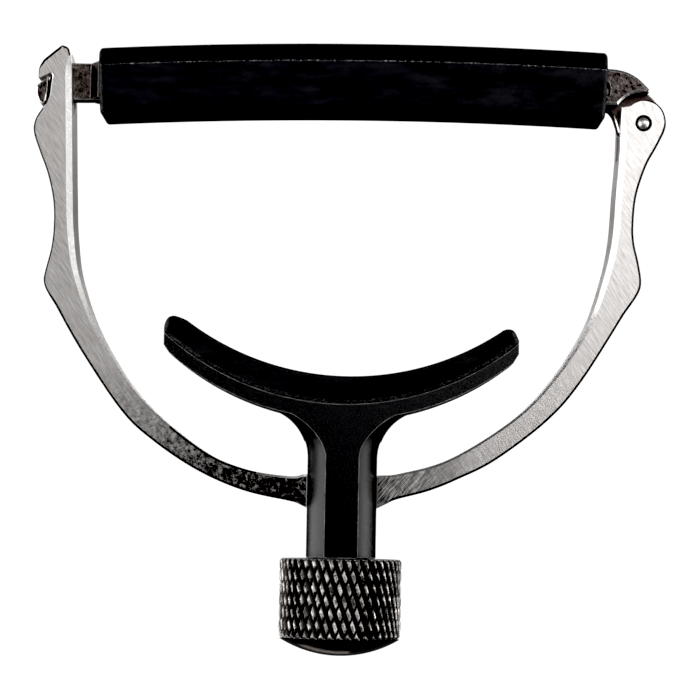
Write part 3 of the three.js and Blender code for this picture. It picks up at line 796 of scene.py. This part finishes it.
def build_sleeve():
    half_length = 27.78
    bottom, low_edge, shoulder, top = 14.85, 14.85 + 0.45, 20.35, 22.64
    bottom_half, depth, top_half = 3.45, SLEEVE_HALF_DEPTH, 2.1
    section = rounded(
        [(-bottom_half, bottom), (bottom_half, bottom), (depth, low_edge), (depth, shoulder),
         (top_half, top), (-top_half, top), (-depth, shoulder), (-depth, low_edge)],
        [0.3, 0.3, 0.3, 0, 0.9, 0.9, 0, 0.3],
    )
    middle = (bottom + top) / 2
    end_round = 0.45
    stations = []
    for i in range(9):
        turn = math.radians(90 * i / 8)
        inset = end_round * (1 - math.cos(turn))
        stations.append((half_length - end_round * (1 - math.sin(turn)), inset))
    stations.append((half_length - 0.03, end_round + 0.3))
    spans = [(-x, inset) for x, inset in reversed(stations)]
    straight = half_length - end_round
    spans += [(-straight + 2 * straight * i / 60, 0) for i in range(1, 60)]
    spans += stations
    bm = bmesh.new()
    rings = []
    for x, inset in spans:
        shrink = 1 - inset / depth
        corners = [(x, y * shrink, middle + (z - middle) * shrink) for y, z in section]
        rings.append([bm.verts.new(corner) for corner in corners])
    join_rings(bm, rings)
    bm.faces.new(rings[0])
    bm.faces.new(rings[-1])
    crown(bm)
    obj = make_object("bar_sleeve_fine", bm, [SLEEVE_RUBBER], 24)
    return place(obj, "bar", "sleeve_rubber", "bar_sleeve")


SHOULDER_R = 3.46
SHOULDER_HALF_DEPTH = 3
BAR_WEB_R = 2.4
BAR_WEB_HALF_DEPTH = 1.05
PIN_SLOT_R = 0.88
RELEASE = 1.56
RELEASE_ANGLE = 33


def build_knuckle():
    """The full-depth shoulder over the cheeks, and the thin web between them."""
    shoulder = [
        (26.0, 16.1), *arc(PIVOT_X, PIVOT_Z, SHOULDER_R, 144.7, 80.5, 24),
        *smooth([(32.95, 17.75), (31.9, 18.85), (30.7, 19.6), (29.5, 19.95), (28.4, 20.05)], 8),
        (26.0, 20.05),
    ]
    plate = bevelled_plate(shoulder, -SHOULDER_HALF_DEPTH, SHOULDER_HALF_DEPTH, 0.24)
    obj = make_object("bar_knuckle", plate, [CAST, POLISHED, CAST])
    web = [
        (27.0, 16.4), *smooth([(28.3, 16.15), (29.1, 15.3), (29.5, 14.3), (29.75, 13.4)], 6),
        *arc(PIVOT_X, PIVOT_Z, BAR_WEB_R, 212, 372, 30),
        *smooth([(34.55, 15.6), (33.9, 16.7), (32.7, 17.9), (31.5, 18.8)], 6), (27.0, 18.8),
    ]
    plate = bevelled_plate(web, -BAR_WEB_HALF_DEPTH, BAR_WEB_HALF_DEPTH, 0.14)
    # painted shade on the recessed web's faces and walls
    web_obj = make_object("bar_web", plate, [SHADED, POLISHED, SHADED])
    angle = math.radians(RELEASE_ANGLE)
    far = (PIVOT_X + RELEASE * math.cos(angle), PIVOT_Z + RELEASE * math.sin(angle))
    combine(web_obj, cross_rod(PIVOT_X, PIVOT_Z, PIN_SLOT_R), "DIFFERENCE", 2)
    combine(web_obj, cross_rod(*far, PIN_SLOT_R), "DIFFERENCE", 2)
    slot = box_mesh((0, -10, -PIN_SLOT_R), (RELEASE, 10, PIN_SLOT_R))
    bmesh.ops.rotate(slot, matrix=Matrix.Rotation(-angle, 3, "Y"), verts=slot.verts)
    bmesh.ops.translate(slot, vec=(PIVOT_X, 0, PIVOT_Z), verts=slot.verts)
    combine(web_obj, slot, "DIFFERENCE", 2)
    # a shallow worn scoop where the shoulder meets the sleeve
    for side in (-1, 1):
        scoop = bmesh.new()
        bmesh.ops.create_uvsphere(scoop, u_segments=32, v_segments=20, radius=1)
        bmesh.ops.scale(scoop, vec=(0.42, 0.5, 1.05), verts=scoop.verts)
        bmesh.ops.translate(scoop, vec=(28.35, side * 3.3, 17.75), verts=scoop.verts)
        combine(obj, scoop, "DIFFERENCE", 0)
    place(obj, "bar", "bar_metal", "swing_bar")
    return place(web_obj, "bar", "bar_metal", "swing_bar")


def build_tongue():
    outline = rounded([
        (-25.0, 16.0), (-25.0, 20.0), (-31.6, 20.0), (-33.0, 18.6), (-33.3, 17.4), (-33.4, 15.9),
        (-32.6, 15.5), (-31.0, 15.9),
    ], 0.25, 3)
    plate = bevelled_plate(outline, -BAR_WEB_HALF_DEPTH, BAR_WEB_HALF_DEPTH, 0.1)
    obj = make_object("bar_tongue", plate, [CAST, POLISHED, CAST])
    root = [
        (-28.5, -1.0), (-27.5, -2.75), (-25.0, -2.75), (-25.0, 2.75), (-27.5, 2.75), (-28.5, 1.0),
    ]
    combine(obj, prism(root, 16.02, 19.98), "UNION", 0)
    place(obj, "bar", "bar_metal", "swing_bar")
    lug = [(-34.2, 17.05), (-32.95, 18.05), (-33.05, 16.2), (-33.15, 15.5), (-33.45, 15.05),
           (-33.95, 15.5), (-34.2, 16.2)]
    bm = bevelled_plate(rounded(lug[::-1], 0.12, 3), -3.1, 3.1, 0.13)
    obj = make_object("latch_lug", bm, [CAST, POLISHED, CAST])
    return place(obj, "bar", "bar_metal", "latch_pin")


# ---------------------------------------------------------------- cradle

BOWL_R = 29.5
BOWL_Z = 15.3
LEFT = -19.6
RIGHT = 18.95
PAD_TILT = 0.82
PAD_THICKNESS = 3.0
CARRIER_TOP, CARRIER_BOTTOM = 3.04, 4.7      # below the pad's hollow top
FLARE_R = 5.4
SPIGOT_R = 3.1
SPIGOT_BOTTOM = -37.2
CRADLE_BASE = -50
BORE_R = 2.5
BORE_TOP = -21
STEM_SLOT_HALF_DEPTH = 0.9
STEM_SLOT_TOP = -21.2


def bowl(depth, left, right, steps=60):
    """Points of an arc this far below the pad's hollow top, from left to right."""
    start, end = (math.degrees(math.asin(x / BOWL_R)) - 90 for x in (left, right))
    return arc(0, BOWL_Z - depth, BOWL_R, start, end, steps)


def pad_tilt(point):
    """Turns the pad's hollow top about the middle of its surface."""
    turn = Matrix.Rotation(math.radians(-PAD_TILT), 2)
    low = Vector((0, BOWL_Z - BOWL_R))
    return tuple(turn @ (Vector(point) - low) + low)


def build_pad():
    right = smooth([
        (RIGHT - 1.75, -8.95), (RIGHT - 1.15, -8.8), (RIGHT - 0.5, -9.05), (RIGHT, -10.0),
    ], 6)
    left = smooth([
        (LEFT, -9.6), (LEFT + 0.05, -8.9), (LEFT + 0.4, -8.2), (LEFT + 1.0, -7.95),
        (LEFT + 1.7, -8.1),
    ], 6)
    top = [pad_tilt(point) for point in bowl(0, LEFT + 2.4, RIGHT - 2.2)]
    outline = left + top + right + bowl(PAD_THICKNESS, LEFT, RIGHT)[::-1]

    def underneath(x, z):
        return z < BOWL_Z - PAD_THICKNESS / 2 - math.sqrt(BOWL_R ** 2 - x * x)

    bm = bevelled_plate(
        outline, PAD_LOW.y, PAD_HIGH.y, lambda x, z: 0.4 if underneath(x, z) else 0.2,
        lambda x, z: 3 if underneath(x, z) else 1,
    )
    obj = make_object("cradle_pad_fine", bm, [PAD_RUBBER, PAD_RUBBER, PAD_RUBBER, PAD_EDGE])
    return place(obj, "cradle", "pad_rubber", "cradle_pad")


def build_cradle():
    half = CRADLE_HALF_DEPTH
    top = bowl(CARRIER_TOP, LEFT, RIGHT)
    under = bowl(CARRIER_BOTTOM, LEFT + 0.6, RIGHT - 0.6)[::-1]
    carrier = [(LEFT, -11.1), *top, (RIGHT, -11.5), *under]
    obj = make_object("cradle_body_fine", flat_plate(carrier, -half, half), [ANODISED])
    flare = arc(STEM_R + FLARE_R, -23.05, FLARE_R, 180, 106, 40)
    profile = [
        (0, SPIGOT_BOTTOM), (SPIGOT_R - 0.1, SPIGOT_BOTTOM), (SPIGOT_R, SPIGOT_BOTTOM + 0.1),
        (SPIGOT_R, STEM_BOTTOM + 0.05), (STEM_R - 0.1, STEM_BOTTOM), (STEM_R, STEM_BOTTOM + 0.1),
        *flare, (flare[-1][0], -14), (0, -14),
    ]
    stem = make_object("cradle_stem", turned(profile, 128), [ANODISED])
    flats = flat_plate([*top, (RIGHT, CRADLE_BASE), (LEFT, CRADLE_BASE)], -half, half)
    combine(stem, flats, "INTERSECT")
    combine(obj, millimetres(stem), "UNION")
    bore = turned([(0, CRADLE_BASE), (BORE_R, CRADLE_BASE), (BORE_R, BORE_TOP), (0, BORE_TOP)], 64)
    combine(obj, bore, "DIFFERENCE")
    slot_half = STEM_SLOT_HALF_DEPTH
    slot = box_mesh((-9, -slot_half, CRADLE_BASE), (9, slot_half, STEM_SLOT_TOP))
    combine(obj, slot, "DIFFERENCE")
    return place(obj, "cradle", "black_anodised", "cradle_body")


# ---------------------------------------------------------------- knob

KNURL_CELLS = 42
KNURL_PITCH = 2.66
KNURL_DEPTH = 0.36
KNURL_SIDES = KNURL_CELLS * 12
KNURL_ROWS = 100
KNOB_CHAMFER = 0.24
COUNTERBORE_R = 3.35
COUNTERBORE_FLOOR = -38.7
NECK_HOLE_R = 1.26


def ridge(phase):
    """0 in a groove, 1 half way between two grooves."""
    return 1 - abs(2 * (phase % 1) - 1)


def build_knob():
    radius = KNOB_HIGH.x
    low, high = KNOB_LOW.z, KNOB_HIGH.z
    sides, rows = KNURL_SIDES, KNURL_ROWS
    bm = bmesh.new()
    turns = [2 * math.pi * i / sides for i in range(sides)]

    def ring(z, size):
        return [bm.verts.new((size * math.cos(a), size * math.sin(a), z)) for a in turns]

    rings = [ring(low, 3.0), ring(low, radius - KNURL_DEPTH - 0.12)]
    cut = set()
    for row in range(rows + 1):
        z = low + (high - low) * row / rows
        from_end = min(z - low, high - z)
        limit = radius - max(0, KNOB_CHAMFER - from_end) * 0.9
        verts = []
        for i, a in enumerate(turns):
            along = KNURL_CELLS * i / sides
            right_hand = ridge(along + (z - low) / KNURL_PITCH)
            left_hand = ridge(along - (z - low) / KNURL_PITCH)
            height = min(1.0, right_hand * 1.2, 0.35 + left_hand * 1.3)
            size = radius - KNURL_DEPTH * (1 - height)
            if size > limit:
                size = limit
                cut.add((row, i))
            verts.append(bm.verts.new((size * math.cos(a), size * math.sin(a), z)))
        rings.append(verts)
    rings += [ring(high, COUNTERBORE_R), ring(COUNTERBORE_FLOOR, COUNTERBORE_R)]
    rings.append(ring(COUNTERBORE_FLOOR, NECK_HOLE_R))
    join_rings(bm, rings)
    bm.faces.ensure_lookup_table()
    for row in range(rows + 1):
        band = row + (1 if row > rows / 2 else 2)
        for i in range(sides):
            if (row, i) in cut and min(row, rows - row) * (high - low) / rows < KNOB_CHAMFER:
                bm.faces[band * sides + i].material_index = 1
    bm.faces.new(rings[0])
    bm.faces.new(rings[-1])
    obj = make_object("knob_knurled", bm, [KNURL, CUT])
    place(obj, "drive", "knob_black", "knob")
    edge, rim = radius - 0.1, CAP_HIGH.z
    sag = rim - CAP_LOW.z
    ball = (edge * edge + sag * sag) / (2 * sag)
    reach = math.degrees(math.asin(edge / ball))
    dome = arc(0, rim - sag + ball, ball, -90, -90 + reach * 0.985, 40)
    bm = turned([*dome, (edge - 0.02, rim - 0.02), (edge - 0.12, rim), (0, rim)], 128)
    return place(make_object("knob_cap_fine", bm, [GLOSS]), "drive", "cap_black", "knob_cap")


def finish_hidden_nodes():
    """Small pieces inside the stem and knob keep their CAD shape and get a turned metal finish."""
    finishes = {
        "stem_plug": BRASS, "adjusting_screw": BRIGHT, "screw_clip": BRIGHT, "thrust_washer": BRASS,
        "spring_washer": BRIGHT, "knob_nut": BRIGHT,
    }
    for name, material in finishes.items():
        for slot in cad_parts[name].material_slots:
            slot.material = material


build_yoke()
build_pin()
build_sleeve()
build_knuckle()
build_tongue()
build_pad()
build_cradle()
build_knob()
finish_hidden_nodes()

# ---------------------------------------------------------------- camera, light and floor

FOCAL_PIXELS = 2420
PICTURE_PIXELS = 700
SENSOR_WIDTH = 36
CAMERA_PITCH = 4.02
CAMERA_ROLL = 1.0
CAMERA_AT = (0.62, -265.2, -29.75)
CAPO_MIDDLE = (0, 0, -10)
STEM_FOOT = (0, 0, -44)
FLOOR_DROP = 75
FLOOR_SIZE = 6000
BACKDROP_R = 2500
BACKDROP_STRENGTH = 1.05


def build_camera():
    data = bpy.data.cameras.new("camera")
    data.sensor_width = SENSOR_WIDTH
    data.lens = FOCAL_PIXELS / PICTURE_PIXELS * SENSOR_WIDTH
    data.clip_start = 0.01
    obj = bpy.data.objects.new("camera", data)
    bpy.context.scene.collection.objects.link(obj)
    tilt = Matrix.Rotation(math.radians(90 + CAMERA_PITCH), 4, "X")
    roll = Matrix.Rotation(math.radians(CAMERA_ROLL), 4, "Z")
    obj.matrix_world = Matrix.Translation(Vector(CAMERA_AT) * MM) @ tilt @ roll
    bpy.context.scene.camera = obj


def area_light(name, place_at, aim, size, power, colour=(1, 1, 1)):
    data = bpy.data.lights.new(name, "AREA")
    data.shape = "RECTANGLE"
    data.size, data.size_y = size[0] * MM, size[1] * MM
    data.energy = power
    data.color = colour
    obj = bpy.data.objects.new(name, data)
    bpy.context.scene.collection.objects.link(obj)
    direction = Vector(aim) - Vector(place_at)
    turn = direction.to_track_quat("-Z", "Y").to_matrix().to_4x4()
    obj.matrix_world = Matrix.Translation(Vector(place_at) * MM) @ turn
    obj.visible_camera = False


def emission(name, strength):
    material = bpy.data.materials.new(name)
    material.use_nodes = True
    nodes = material.node_tree.nodes
    nodes.clear()
    glow = nodes.new("ShaderNodeEmission")
    glow.inputs["Strength"].default_value = strength
    glow.inputs["Color"].default_value = (1, 1, 1, 1)
    out = nodes.new("ShaderNodeOutputMaterial")
    material.node_tree.links.new(glow.outputs["Emission"], out.inputs["Surface"])
    return material


def build_stage():
    floor = bmesh.new()
    bmesh.ops.create_grid(floor, x_segments=1, y_segments=1, size=FLOOR_SIZE)
    bmesh.ops.translate(floor, vec=(0, 0, CAP_LOW.z - FLOOR_DROP), verts=floor.verts)
    dome = bmesh.new()
    bmesh.ops.create_uvsphere(dome, u_segments=48, v_segments=24, radius=BACKDROP_R)
    for name, bm in (("floor", floor), ("backdrop", dome)):
        obj = make_object(name, bm, [emission(name + "_white", BACKDROP_STRENGTH)])
        obj.visible_diffuse = False
        obj.visible_glossy = False
        obj.visible_transmission = False
        obj.visible_shadow = False


def build_lights():
    world = bpy.data.worlds.new("studio")
    bpy.context.scene.world = world
    world.use_nodes = True
    background = world.node_tree.nodes["Background"]
    background.inputs["Color"].default_value = (1, 1, 1, 1)
    background.inputs["Strength"].default_value = 0.05
    area_light("front", (300, -600, 255), CAPO_MIDDLE, (700, 430), 2.3)
    area_light("left", (-400, -82, -10), CAPO_MIDDLE, (684, 420), 2.8)
    area_light("right", (400, -52, -10), CAPO_MIDDLE, (300, 420), 1.3)
    area_light("back", (0, 600, 280), CAPO_MIDDLE, (600, 280), 1.2)
    area_light("under", (-8, 78, -92), STEM_FOOT, (26, 14), 0.0005, (1, 0.9, 0.82))


build_camera()
build_lights()
build_stage()
view = bpy.context.scene.view_settings
view.view_transform = "Standard"
view.look = "None"
view.use_curve_mapping = True
view.curve_mapping.black_level = (0.02, 0.02, 0.02)
view.curve_mapping.update()
